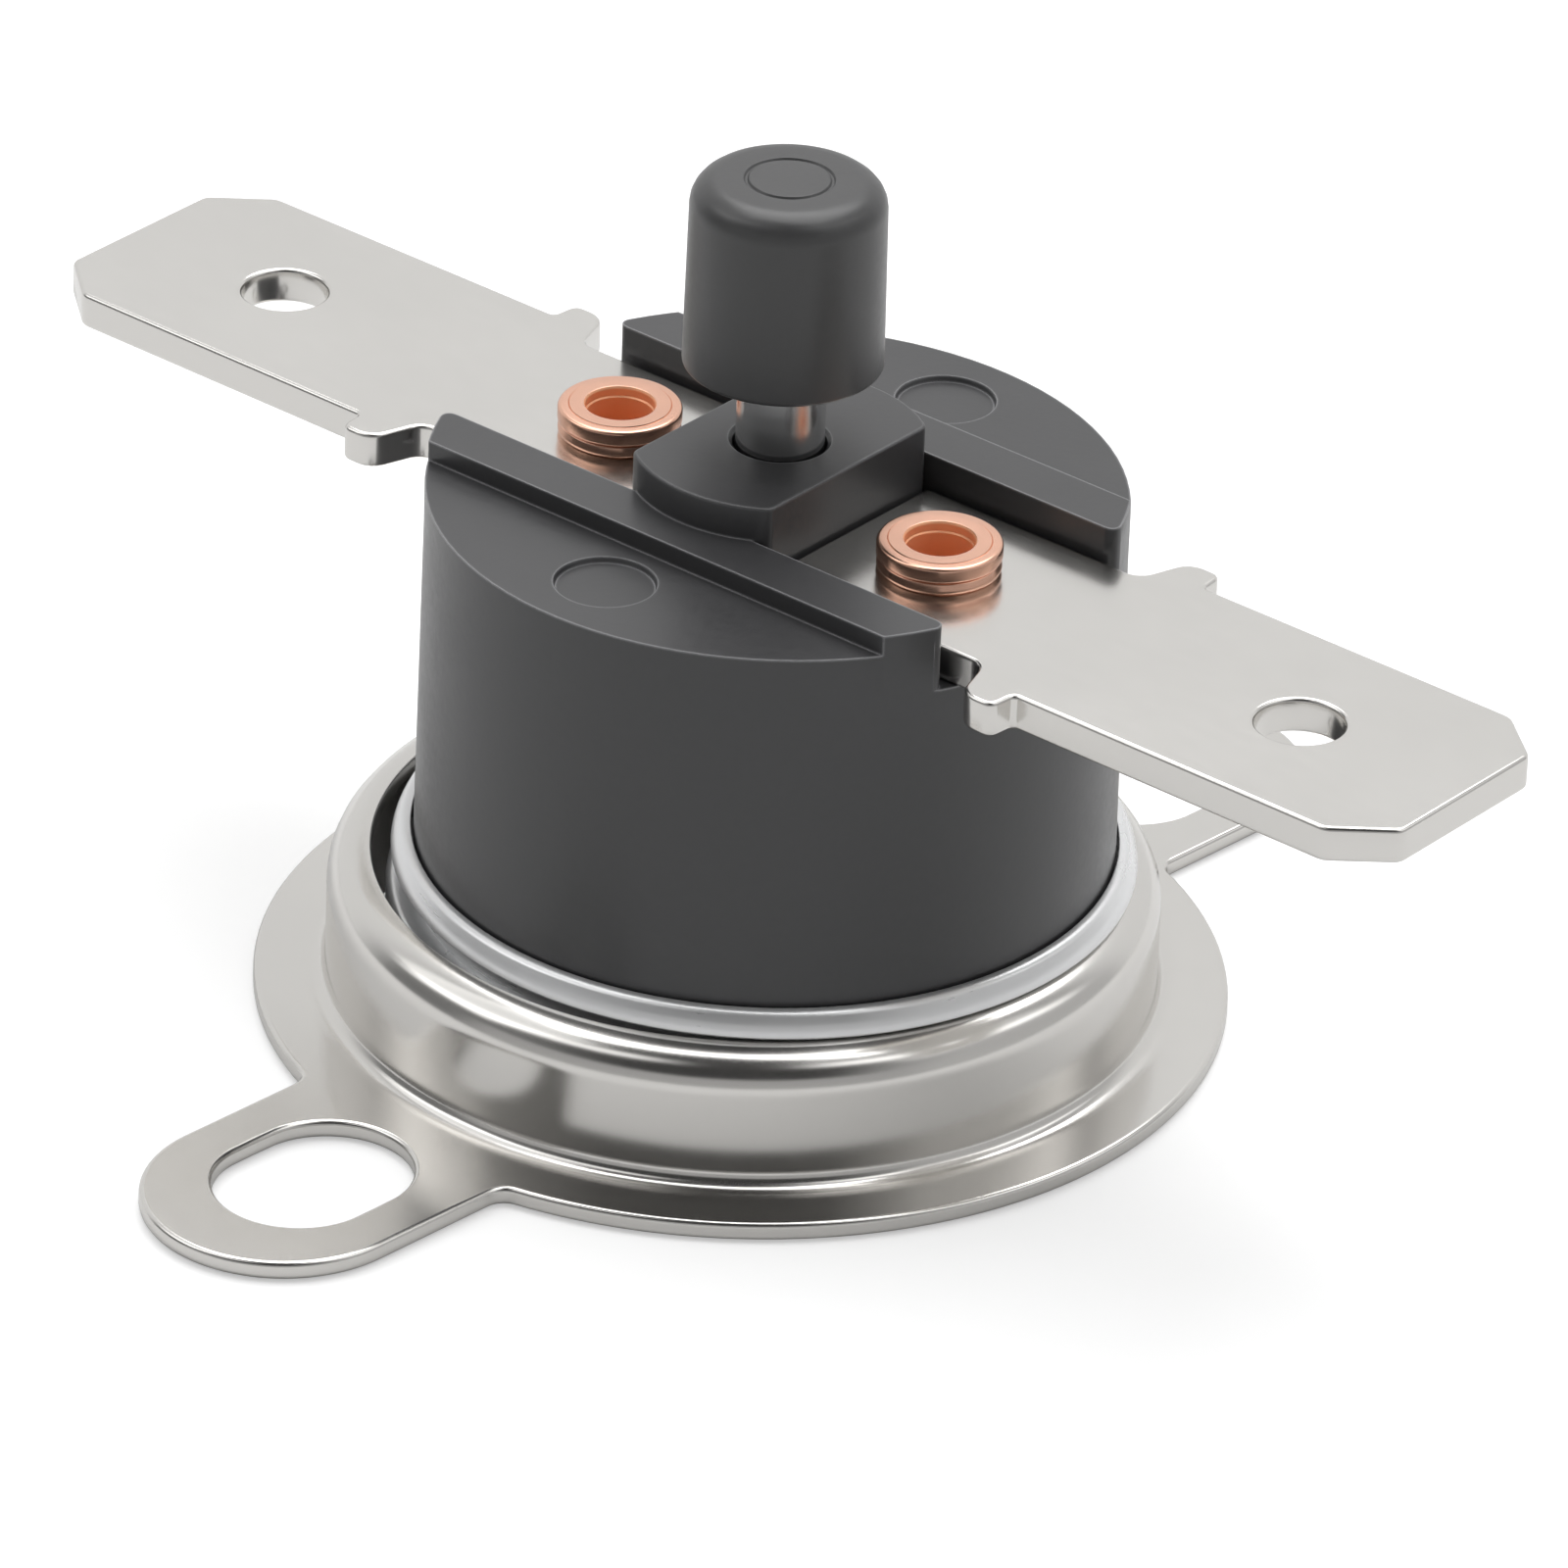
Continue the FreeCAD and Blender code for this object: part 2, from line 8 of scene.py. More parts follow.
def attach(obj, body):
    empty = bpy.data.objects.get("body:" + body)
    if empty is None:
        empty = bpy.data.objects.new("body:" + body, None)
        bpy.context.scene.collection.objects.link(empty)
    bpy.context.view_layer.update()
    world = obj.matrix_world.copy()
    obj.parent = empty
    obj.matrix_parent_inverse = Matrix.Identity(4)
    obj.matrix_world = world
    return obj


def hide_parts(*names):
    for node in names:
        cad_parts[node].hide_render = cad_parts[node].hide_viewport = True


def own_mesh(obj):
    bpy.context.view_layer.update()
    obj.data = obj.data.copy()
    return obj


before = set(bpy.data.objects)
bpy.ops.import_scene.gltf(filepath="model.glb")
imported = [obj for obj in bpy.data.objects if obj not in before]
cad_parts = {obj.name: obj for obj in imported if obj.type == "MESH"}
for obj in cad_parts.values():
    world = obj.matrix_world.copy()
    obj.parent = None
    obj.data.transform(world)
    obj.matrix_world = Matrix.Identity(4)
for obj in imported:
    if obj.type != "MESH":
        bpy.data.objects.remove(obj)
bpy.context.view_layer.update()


# Housing: the round body of dark thermoset moulding. Its top has two D-shaped shoulders, two
# rails beside the blades and a central boss with the bore of the reset shaft; a cavity below
# holds the contacts. Compression moulded in one piece.
SWITCH_TURN = math.radians(5.0)
BODY_R = 7.56
BODY_TOP_R = 7.48
BODY_LOW = 3.75
GROOVE_R = 7.28
GROOVE_TOP = 3.5
FOOT_R = 7.68
FOOT_TOP = 2.5
FOOT_LOW = 2.3
CHANNEL_Z = 11.2
SHOULDER_Z = 12.24
RAIL_Z = 12.69
RAIL_INNER = 2.78
RAIL_OUTER = 4.1
BOSS_Z = 13.46
BOSS_HALF_WIDTH = 1.9
BOSS_END_R = 3.2
BOSS_SUNK = 0.6
CAVITY_R = 6.5
CAVITY_TOP = 9.6
SPRING_BORE_R = 1.45
SPRING_BORE_TOP = 12.85
SHAFT_BORE_R = 1.02
EYELET_X = 4.41
EYELET_HOLE_R = 1.0
RAIL_CORNER = 0.35
MOULD_ROUND = 0.055
MARK_Y = 5.62
MARK_R = 1.08
MARK_DEPTH = 0.13
MARK_SLOPE = 0.03
MOULDING_COLOUR = (0.043, 0.043, 0.045)


def pick(obj, kind, wanted):
    """Selects the vertices, edges or faces of the piece being edited that pass a test."""
    bpy.ops.mesh.select_mode(type=kind)
    bpy.ops.mesh.select_all(action="DESELECT")
    mesh = bmesh.from_edit_mesh(obj.data)
    parts = {"VERT": mesh.verts, "EDGE": mesh.edges, "FACE": mesh.faces}[kind]
    for part in parts:
        if wanted(part):
            part.select_set(True)
    mesh.select_flush_mode()
    bmesh.update_edit_mesh(obj.data)


def begin(name):
    """The primitive just added becomes this piece, and its editing begins."""
    obj = bpy.context.active_object
    obj.name = name
    bpy.ops.object.transform_apply(location=True, rotation=True, scale=True)
    bpy.ops.object.mode_set(mode="EDIT")
    return obj


def end_edit(obj):
    """Merges what coincides, turns every face outwards and leaves edit mode."""
    bpy.ops.mesh.select_all(action="SELECT")
    bpy.ops.mesh.remove_doubles(threshold=0.0005)
    bpy.ops.mesh.normals_make_consistent(inside=False)
    bpy.ops.mesh.select_all(action="DESELECT")
    bpy.ops.object.mode_set(mode="OBJECT")
    return obj


def only(obj):
    """Makes this piece the only one that the next operators act on."""
    bpy.ops.object.select_all(action="DESELECT")
    obj.select_set(True)
    bpy.context.view_layer.objects.active = obj


def wall_to(low, radius, from_low, from_radius):
    """Extrudes the selected loop down from one height and radius about the axis to the next."""
    bpy.ops.mesh.extrude_region_move(TRANSFORM_OT_translate={"value": (0, 0, low - from_low)})
    bpy.ops.transform.resize(value=(radius / from_radius, radius / from_radius, 1), center_override=(0, 0, 0))


def lift(height):
    """Extrudes what is selected upwards."""
    bpy.ops.mesh.extrude_region_move(TRANSFORM_OT_translate={"value": (0, 0, height)})


def spun(name, corners, x=0.0, steps=96, closed=True):
    """Draws a profile of (radius, height, rounding) corners point by point, rounds its corners and
    spins it about the upright line through x. An open profile starts and ends on that line."""
    bpy.ops.object.select_all(action="DESELECT")
    bpy.ops.mesh.primitive_plane_add(size=1, location=(0, 0, 0))
    obj = begin(name)
    bpy.ops.mesh.select_mode(type="VERT")
    bpy.ops.mesh.select_all(action="SELECT")
    bpy.ops.mesh.merge(type="CENTER")
    bpy.ops.transform.translate(value=(corners[0][0], 0, corners[0][1]))
    for (r0, z0, _), (r1, z1, _) in zip(corners, corners[1:]):
        bpy.ops.mesh.extrude_vertices_move(TRANSFORM_OT_translate={"value": (r1 - r0, 0, z1 - z0)})
    if closed:
        first, last = corners[0], corners[-1]
        ends = [Vector((first[0], 0, first[1])), Vector((last[0], 0, last[1]))]
        pick(obj, "VERT", lambda v: min((v.co - e).length for e in ends) < 1e-5)
        bpy.ops.mesh.edge_face_add()
    for i, (r, z, rounding) in enumerate(corners):
        if rounding:
            here = Vector((r, 0, z))
            r_before, z_before, _ = corners[i - 1]
            r_after, z_after, _ = corners[(i + 1) % len(corners)]
            before = Vector((r_before, 0, z_before))
            after = Vector((r_after, 0, z_after))
            half_angle = (before - here).angle(after - here) / 2
            pick(obj, "VERT", lambda v: (v.co - here).length < 1e-5)
            bpy.ops.mesh.bevel(offset=rounding / math.tan(half_angle), offset_type="OFFSET", affect="VERTICES",
                               segments=6, profile=0.5, clamp_overlap=False)
    bpy.ops.mesh.select_all(action="SELECT")
    bpy.ops.mesh.spin(steps=steps, angle=2 * math.pi, center=(0, 0, 0), axis=(0, 0, 1), dupli=False)
    bpy.ops.mesh.select_all(action="SELECT")
    bpy.ops.transform.translate(value=(x, 0, 0))
    return end_edit(obj)


def combine(obj, tool, operation):
    """Joins a tool to a piece, or cuts the piece with it, and removes the tool."""
    only(obj)
    modifier = obj.modifiers.new("combine", "BOOLEAN")
    modifier.operation = operation
    modifier.solver = "EXACT"
    modifier.object = tool
    bpy.ops.object.modifier_apply(modifier="combine")
    bpy.data.objects.remove(tool)


def round_edges(obj, width, segments=3, clamp=False):
    """Rounds every edge that turns by more than 40 degrees. Clamped, a rounding gives way where an
    edge is short, as on the body's stepped top."""
    only(obj)
    modifier = obj.modifiers.new("rounding", "BEVEL")
    modifier.width = width
    modifier.segments = segments
    modifier.limit_method = "ANGLE"
    modifier.angle_limit = math.radians(40)
    modifier.miter_outer = "MITER_ARC"
    modifier.use_clamp_overlap = clamp
    bpy.ops.object.modifier_apply(modifier="rounding")


def settle(obj, turn=SWITCH_TURN, shift=(0, 0)):
    """Brings a piece from millimetres to metres and to its turn and place, with even shading."""
    only(obj)
    obj.scale = (0.001, 0.001, 0.001)
    obj.rotation_euler.z = turn
    obj.location = (shift[0] * 0.001, shift[1] * 0.001, 0)
    bpy.ops.object.transform_apply(location=True, rotation=True, scale=True)
    bpy.ops.object.shade_smooth_by_angle(angle=math.radians(35))
    weighted = obj.modifiers.new("even", "WEIGHTED_NORMAL")
    weighted.keep_sharp = True
    bpy.ops.object.modifier_apply(modifier="even")
    return obj


def copy_mirrored(obj, name):
    """A piece's twin for the left-hand side, with a mesh of its own."""
    only(obj)
    bpy.ops.object.duplicate(linked=False)
    twin = bpy.context.active_object
    twin.name = name
    bpy.ops.object.mode_set(mode="EDIT")
    bpy.ops.mesh.select_all(action="SELECT")
    bpy.ops.transform.resize(value=(-1, 1, 1), center_override=(0, 0, 0))
    bpy.ops.mesh.flip_normals()
    bpy.ops.object.mode_set(mode="OBJECT")
    return twin


def dress(obj, material, body, slot, *nodes):
    """Gives a piece its finish, the body it moves with and the CAD nodes it stands for."""
    obj.data.materials.clear()
    obj.data.materials.append(material)
    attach(obj, body)
    if nodes:
        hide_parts(*nodes)


def node_group(name, inputs, outputs):
    """An empty shader group with named float, vector or colour sockets."""
    group = bpy.data.node_groups.new(name, "ShaderNodeTree")
    for side, sockets in (("INPUT", inputs), ("OUTPUT", outputs)):
        for label, kind in sockets:
            group.interface.new_socket(name=label, in_out=side, socket_type="NodeSocket" + kind)
    return group, group.nodes.new("NodeGroupInput"), group.nodes.new("NodeGroupOutput")


def math_node(tree, operation, a, b, clamp=False):
    """The result of one operation on two sockets or numbers."""
    node = tree.nodes.new("ShaderNodeMath")
    node.operation = operation
    node.use_clamp = clamp
    for socket, value in zip(node.inputs, (a, b)):
        if isinstance(value, (int, float)):
            socket.default_value = value
        else:
            tree.links.new(value, socket)
    return node.outputs[0]


# Painted edge highlight: where the surface turns within a small radius, as a mask from 0 to 1. The finishes paint a
# lighter colour there, in place of the glint that a rounded edge catches.
painted_edge_highlight, highlight_in, highlight_out = node_group(
    "painted edge highlight", [("Radius", "Float"), ("Gain", "Float")], [("Mask", "Float")])
softened = painted_edge_highlight.nodes.new("ShaderNodeBevel")
softened.samples = 6
painted_edge_highlight.links.new(highlight_in.outputs["Radius"], softened.inputs["Radius"])
geometry = painted_edge_highlight.nodes.new("ShaderNodeNewGeometry")
turning = painted_edge_highlight.nodes.new("ShaderNodeVectorMath")
turning.operation = "DOT_PRODUCT"
painted_edge_highlight.links.new(softened.outputs["Normal"], turning.inputs[0])
painted_edge_highlight.links.new(geometry.outputs["Normal"], turning.inputs[1])
lost = math_node(painted_edge_highlight, "SUBTRACT", 1.0, turning.outputs["Value"])
painted_edge_highlight.links.new(math_node(painted_edge_highlight, "MULTIPLY", lost, highlight_in.outputs["Gain"], clamp=True),
                     highlight_out.inputs["Mask"])

# Grain: fine noise and slow clouds on the piece's own coordinates, stretched by the Grain vector
grain, grain_in, grain_out = node_group(
    "grain", [("Grain", "Vector"), ("Clouds", "Float"), ("Turn", "Vector")],
    [("Fine", "Float"), ("Slow", "Float")])
place = grain.nodes.new("ShaderNodeTexCoord")
turned_place = grain.nodes.new("ShaderNodeMapping")
grain.links.new(place.outputs["Object"], turned_place.inputs["Vector"])
grain.links.new(grain_in.outputs["Turn"], turned_place.inputs["Rotation"])
stretched = grain.nodes.new("ShaderNodeVectorMath")
stretched.operation = "MULTIPLY"
grain.links.new(turned_place.outputs["Vector"], stretched.inputs[0])
grain.links.new(grain_in.outputs["Grain"], stretched.inputs[1])
fine = grain.nodes.new("ShaderNodeTexNoise")
fine.inputs["Scale"].default_value = 1.0
fine.inputs["Detail"].default_value = 4.0
grain.links.new(stretched.outputs["Vector"], fine.inputs["Vector"])
grain.links.new(fine.outputs["Fac"], grain_out.inputs["Fine"])
slow = grain.nodes.new("ShaderNodeTexNoise")
slow.inputs["Detail"].default_value = 2.0
grain.links.new(turned_place.outputs["Vector"], slow.inputs["Vector"])
grain.links.new(grain_in.outputs["Clouds"], slow.inputs["Scale"])
grain.links.new(slow.outputs["Fac"], grain_out.inputs["Slow"])


def finish_material(name, colour, highlight_colour, metallic, roughness, rough_spread, grain_size, clouds, tone_spread,
                    bump, edge_radius, edge_gain, turn=0.0, specular=0.5):
    """One finish: a grained, cloudy colour with a painted highlight (a lighter colour) along its edges, uneven gloss
    and a fine relief.
    """
    material = bpy.data.materials.new(name)
    material.use_nodes = True
    tree = material.node_tree
    shader = tree.nodes["Principled BSDF"]
    shader.inputs["Metallic"].default_value = metallic
    shader.inputs["Specular IOR Level"].default_value = specular
    texture = tree.nodes.new("ShaderNodeGroup")
    texture.node_tree = grain
    texture.inputs["Grain"].default_value = grain_size
    texture.inputs["Clouds"].default_value = clouds
    texture.inputs["Turn"].default_value = (0, 0, turn)
    edge_highlight = tree.nodes.new("ShaderNodeGroup")
    edge_highlight.node_tree = painted_edge_highlight
    edge_highlight.inputs["Radius"].default_value = edge_radius
    edge_highlight.inputs["Gain"].default_value = edge_gain
    tone = tree.nodes.new("ShaderNodeMix")
    tone.data_type = "RGBA"
    tone.inputs[6].default_value = (*[c * (1 - tone_spread) for c in colour], 1)
    tone.inputs[7].default_value = (*[min(1, c * (1 + tone_spread)) for c in colour], 1)
    blend = math_node(tree, "ADD", math_node(tree, "MULTIPLY", texture.outputs["Fine"], 0.5),
                      math_node(tree, "MULTIPLY", texture.outputs["Slow"], 0.5))
    tree.links.new(blend, tone.inputs[0])
    # Painted highlight: the lighter edge colour is mixed into the base colour where the edge mask is up
    highlighted = tree.nodes.new("ShaderNodeMix")
    highlighted.data_type = "RGBA"
    tree.links.new(edge_highlight.outputs["Mask"], highlighted.inputs[0])
    tree.links.new(tone.outputs[2], highlighted.inputs[6])
    highlighted.inputs[7].default_value = (*highlight_colour, 1)
    tree.links.new(highlighted.outputs[2], shader.inputs["Base Color"])
    gloss = tree.nodes.new("ShaderNodeMapRange")
    tree.links.new(blend, gloss.inputs["Value"])
    gloss.inputs["From Min"].default_value = 0.3
    gloss.inputs["From Max"].default_value = 0.7
    gloss.inputs["To Min"].default_value = roughness - rough_spread
    gloss.inputs["To Max"].default_value = roughness + rough_spread
    tree.links.new(gloss.outputs["Result"], shader.inputs["Roughness"])
    relief = tree.nodes.new("ShaderNodeBump")
    relief.inputs["Strength"].default_value = 1.0
    relief.inputs["Distance"].default_value = bump
    tree.links.new(texture.outputs["Fine"], relief.inputs["Height"])
    tree.links.new(relief.outputs["Normal"], shader.inputs["Normal"])
    return material


# The round wall with the flat of the blade channel on top, and the groove and foot under the cup's rim
COLUMNS = 96
bpy.ops.object.select_all(action="DESELECT")
bpy.ops.mesh.primitive_circle_add(vertices=COLUMNS, radius=BODY_TOP_R, fill_type="NGON", location=(0, 0, CHANNEL_Z),
                                  rotation=(0, 0, math.pi / COLUMNS))
body = begin("housing_body")
pick(body, "EDGE", lambda e: e.is_boundary)
outline = [(CHANNEL_Z, BODY_TOP_R), (BODY_LOW, BODY_R), (GROOVE_TOP, GROOVE_R), (FOOT_TOP, GROOVE_R),
           (FOOT_TOP, FOOT_R), (FOOT_LOW, FOOT_R)]
for (high, wide), (low, radius) in zip(outline, outline[1:]):
    wall_to(low, radius, high, wide)
bpy.ops.mesh.edge_face_add()
for across in (-RAIL_OUTER, -RAIL_INNER, RAIL_INNER, RAIL_OUTER):
    pick(body, "FACE", lambda f: abs(f.calc_center_median().z - CHANNEL_Z) < 1e-4)
    bpy.ops.mesh.bisect(plane_co=(0, across, 0), plane_no=(0, 1, 0))


def top_face(face, level, inner, outer):
    """Tells whether a face lies at a height and between two distances from the blades' line."""
    middle = face.calc_center_median()
    return abs(middle.z - level) < 1e-4 and inner < abs(middle.y) < outer


for level, inner, outer, rise in (
        (CHANNEL_Z, RAIL_INNER, BODY_R, SHOULDER_Z), (SHOULDER_Z, RAIL_INNER, RAIL_OUTER, RAIL_Z)):
    pick(body, "FACE", lambda f: top_face(f, level, inner, outer))
    lift(rise - level)
end_edit(body)
# The vertical corners of the rails at the blade channel are well rounded
only(body)
bpy.ops.object.mode_set(mode="EDIT")
pick(body, "EDGE", lambda e: min(v.co.z for v in e.verts) > CHANNEL_Z - 1e-3
     and abs(e.verts[0].co.z - e.verts[1].co.z) > 0.3 and abs(abs(e.verts[0].co.y) - RAIL_INNER) < 0.01
     and math.hypot(e.verts[0].co.x, e.verts[0].co.y) > 7)
bpy.ops.mesh.bevel(offset=RAIL_CORNER, affect="EDGES", segments=5, profile=0.5)
end_edit(body)
round_edges(body, MOULD_ROUND, clamp=True)

# The boss, a slab with round ends across the channel
BOSS_COLUMNS = 72
bpy.ops.object.select_all(action="DESELECT")
bpy.ops.mesh.primitive_circle_add(vertices=BOSS_COLUMNS, radius=BOSS_END_R, fill_type="NGON",
                                  location=(0, 0, CHANNEL_Z - BOSS_SUNK), rotation=(0, 0, math.pi / BOSS_COLUMNS))
boss = begin("housing_boss")
for across in (-BOSS_HALF_WIDTH, BOSS_HALF_WIDTH):
    bpy.ops.mesh.select_all(action="SELECT")
    bpy.ops.mesh.bisect(plane_co=(across, 0, 0), plane_no=(math.copysign(1, across), 0, 0), clear_outer=True)
bpy.ops.mesh.select_all(action="SELECT")
lift(BOSS_Z - CHANNEL_Z + BOSS_SUNK)
pick(boss, "EDGE", lambda e: abs(e.verts[0].co.z - e.verts[1].co.z) > 1
     and abs(abs(e.verts[0].co.x) - BOSS_HALF_WIDTH) < 0.01)
bpy.ops.mesh.bevel(offset=0.12, affect="EDGES", segments=4, profile=0.5)
end_edit(boss)
round_edges(boss, MOULD_ROUND)
combine(body, boss, "UNION")

# The cavity, the spring bore, the shaft bore and the eyelet holes
combine(body, spun("cavity_tool", [
    (0, FOOT_LOW - 0.8, 0), (CAVITY_R, FOOT_LOW - 0.8, 0), (CAVITY_R, CAVITY_TOP, 0), (SPRING_BORE_R, CAVITY_TOP, 0),
    (SPRING_BORE_R, SPRING_BORE_TOP, 0), (SHAFT_BORE_R, SPRING_BORE_TOP, 0), (SHAFT_BORE_R, BOSS_Z - 0.08, 0),
    (SHAFT_BORE_R + 0.12, BOSS_Z + 0.04, 0), (SHAFT_BORE_R + 0.12, BOSS_Z + 1, 0), (0, BOSS_Z + 1, 0)],
    steps=64, closed=False), "DIFFERENCE")


def hole_tool(name, radius, low, high, x, steps):
    """A plain round bar on the blades' line, to cut a hole with."""
    return spun(name, [(0, low, 0), (radius, low, 0), (radius, high, 0), (0, high, 0)], x, steps, closed=False)


for side in (-1, 1):
    combine(body, hole_tool("eyelet_hole_tool", EYELET_HOLE_R, 9, 12, side * EYELET_X, 32), "DIFFERENCE")
# The two shallow round marks on the shoulders
for side in (-1, 1):
    floor_z = SHOULDER_Z - MARK_DEPTH
    mark = spun("mark_tool", [
        (0, floor_z, 0), (MARK_R - MARK_SLOPE, floor_z, 0), (MARK_R, SHOULDER_Z - 0.02, 0),
        (MARK_R + MARK_SLOPE, SHOULDER_Z + 0.01, 0), (MARK_R + MARK_SLOPE, 13, 0), (0, 13, 0)],
        steps=64, closed=False)
    only(mark)
    bpy.ops.object.mode_set(mode="EDIT")
    bpy.ops.mesh.select_all(action="SELECT")
    bpy.ops.transform.translate(value=(0, side * MARK_Y, 0))
    bpy.ops.object.mode_set(mode="OBJECT")
    combine(body, mark, "DIFFERENCE")
settle(body)
body.name = "housing_shell"
# The second colour of each finish is its painted edge highlight; on the dark moulding it paints the light rims along
# the rails, the boss and the shoulders
moulding = finish_material("dark moulding", MOULDING_COLOUR, (0.30, 0.30, 0.31), 0.0, 0.33, 0.05,
                           (5200, 5200, 5200), 380, 0.12, 2.0e-6, 0.00009, 7.0, specular=0.55)
dress(body, moulding, "switch", "moulding", "housing")

# Contact system: folded brass strips, a bronze leaf spring with silver contacts, a ceramic pin, the
# moulded guide plate, the snap disc on its steel ring, the spring's seat and the shaft's clip. All
# of it is hidden inside the housing and the cup, and keeps its turned, folded and stamped shapes.
brass = finish_material("rolled brass", (0.70, 0.50, 0.22), (0.85, 0.66, 0.36), 1.0, 0.28, 0.07, (900, 9000, 900),
                        300, 0.06, 8.0e-7, 0.00005, 3.0)
bronze = finish_material("spring bronze", (0.72, 0.46, 0.26), (0.86, 0.62, 0.40), 1.0, 0.26, 0.07, (900, 9000, 900),
                         300, 0.06, 8.0e-7, 0.00004, 3.0)
silver = finish_material("silver contact", (0.84, 0.84, 0.81), (0.92, 0.92, 0.90), 1.0, 0.30, 0.06,
                         (6000, 6000, 6000), 500, 0.05, 8.0e-7, 0.00004, 3.0)
ceramic = finish_material("unglazed ceramic", (0.80, 0.79, 0.74), (0.86, 0.85, 0.81), 0.0, 0.62, 0.08,
                          (7000, 7000, 7000), 600, 0.04, 2.0e-6, 0.00004, 2.0)
bimetal = finish_material("rolled bimetal", (0.58, 0.56, 0.52), (0.72, 0.70, 0.66), 1.0, 0.32, 0.08,
                          (700, 9000, 700), 260, 0.07, 1.0e-6, 0.00004, 3.0)
bright_steel = finish_material("bright turned steel", (0.62, 0.62, 0.62), (0.78, 0.78, 0.78), 1.0, 0.22, 0.03,
                               (500, 500, 3000), 300, 0.04, 1.0e-7, 0.00005, 2.0)
for node, material in (
        ("arm_carrier", brass), ("fixed_contact_strip", brass), ("spring_seat", brass), ("contact_arm", bronze),
        ("moving_contact", silver), ("fixed_contact", silver), ("transfer_pin", ceramic), ("guide_plate", moulding),
        ("disc_ring", bright_steel), ("bimetal_disc", bimetal), ("shaft_clip", bright_steel)):
    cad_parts[node].data.materials.clear()
    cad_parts[node].data.materials.append(material)

# Blade terminals: two flat quick-connect tabs of nickel-plated brass, stamped with barbs, a lock
# hole and a chamfered tip. They lie in the channel between the rails under the eyelets.
BLADE_TOP = 12.0
BLADE_THICK = 0.8
BLADE_HALF = 3.175
BLADE_INNER = 1.97
BLADE_TIP = 18.3
TIP_LONG = 1.24
TIP_SIDE = 1.03
NECK_HALF = 2.6
NECK_TO = 7.7
BARB_FROM = 8.1
BARB_TO = 9.0
BARB_FALL = 0.06
BARB_HALF = 3.85
LOCK_X = 14.0
LOCK_R = 0.95
BLADE_ROUND = 0.10
NICKEL_COLOUR = (0.69, 0.675, 0.65)
bpy.ops.object.select_all(action="DESELECT")
bpy.ops.mesh.primitive_cube_add(size=1, location=((BLADE_INNER + BLADE_TIP) / 2, 0, BLADE_TOP - BLADE_THICK / 2),
                                scale=(BLADE_TIP - BLADE_INNER, 2 * BLADE_HALF, BLADE_THICK))
blade = begin("blade_right")
for along in (NECK_TO, BARB_FROM, BARB_TO - BARB_FALL, BARB_TO, BLADE_TIP - TIP_LONG):
    bpy.ops.mesh.select_all(action="SELECT")
    bpy.ops.mesh.bisect(plane_co=(along, 0, 0), plane_no=(1, 0, 0))


def stretch_blade(low, high, half):
    """Brings the blade's edges between two places along it to a half width."""
    pick(blade, "VERT", lambda v: low - 1e-3 < v.co.x < high + 1e-3)
    bpy.ops.transform.resize(value=(1, half / BLADE_HALF, 1), center_override=(0, 0, 0))


stretch_blade(BLADE_INNER, NECK_TO, NECK_HALF)
stretch_blade(BARB_FROM, BARB_TO - BARB_FALL, BARB_HALF)
stretch_blade(BLADE_TIP, BLADE_TIP, BLADE_HALF - TIP_SIDE)


def blade_corner(edge, where, half):
    """Tells whether an edge is the upright one at a place along the blade and a half width."""
    a, b = edge.verts[0].co, edge.verts[1].co
    return abs(a.z - b.z) > 0.5 and abs(a.x - where) < 0.01 and abs(abs(a.y) - half) < 0.01


for where, half, rounding in (
        (NECK_TO, NECK_HALF, 0.3), (BARB_FROM, BARB_HALF, 0.36), (BARB_TO - BARB_FALL, BARB_HALF, 0.22),
        (BARB_TO, BLADE_HALF, 0.12), (BLADE_TIP - TIP_LONG, BLADE_HALF, 0.14),
        (BLADE_TIP, BLADE_HALF - TIP_SIDE, 0.14)):
    pick(blade, "EDGE", lambda e: blade_corner(e, where, half))
    bpy.ops.mesh.bevel(offset=rounding, affect="EDGES", segments=4, profile=0.5)
# The top and the underside are one flat face each, so that no seam shows across them
pick(blade, "FACE", lambda f: abs(f.normal.z) > 0.9)
bpy.ops.mesh.dissolve_faces()
end_edit(blade)
combine(blade, hole_tool("lock_hole_tool", LOCK_R, 11, 12.5, LOCK_X, 64), "DIFFERENCE")
combine(blade, hole_tool("rivet_hole_tool", EYELET_HOLE_R, 11, 12.5, EYELET_X, 32), "DIFFERENCE")
round_edges(blade, BLADE_ROUND, 4)
twin = copy_mirrored(blade, "blade_left")
nickel = finish_material("nickel plate", NICKEL_COLOUR, (0.82, 0.81, 0.79), 1.0, 0.20, 0.03, (900, 5000, 3000), 160,
                         0.02, 1.2e-7, 0.00006, 2.2, turn=-SWITCH_TURN)
for obj, node in ((blade, "terminal_right"), (twin, "terminal_left")):
    settle(obj)
    dress(obj, nickel, "switch", "nickel_plate", node)

